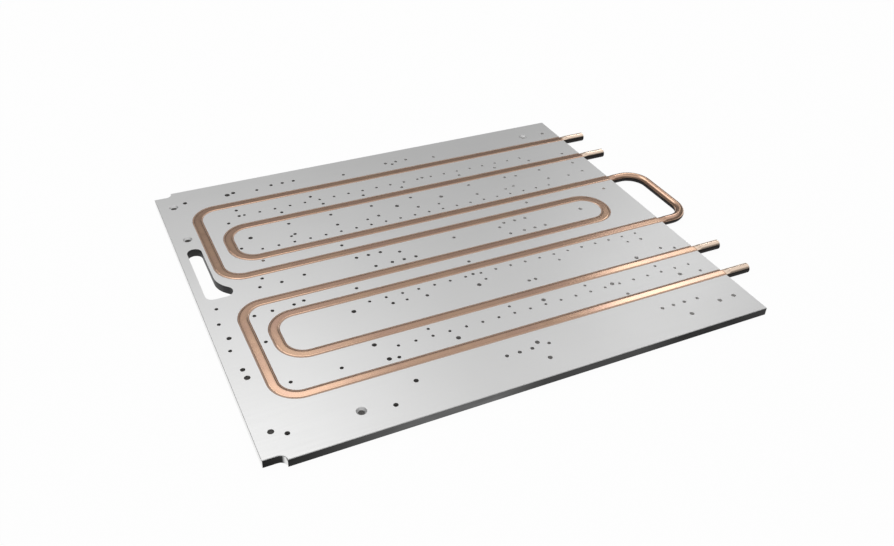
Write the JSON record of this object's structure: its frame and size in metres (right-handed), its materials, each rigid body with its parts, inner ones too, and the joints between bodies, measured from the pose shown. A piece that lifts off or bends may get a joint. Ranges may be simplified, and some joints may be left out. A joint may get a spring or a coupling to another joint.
{
  "type": "liquid cooling cold plate",
  "caption": "Flat aluminium cold plate with serpentine copper coolant tubes pressed flush into its face, a hand-hold slot and rows of tapped mounting holes.",
  "frame": {"origin": "centre of the plate's underside", "axes": "+X along the tube runs towards the connection stubs, +Y across the runs towards the far edge, +Z out of the component face"},
  "size_m": [0.637, 0.5, 0.0122],
  "materials": {
    "aluminium": "satin",
    "copper": "satin"
  },
  "bodies": {
    "root": {"aluminium_plate": "aluminium", "outer_circuit_tube": "copper", "inner_circuit_tube": "copper"}
  },
  "joints": []
}
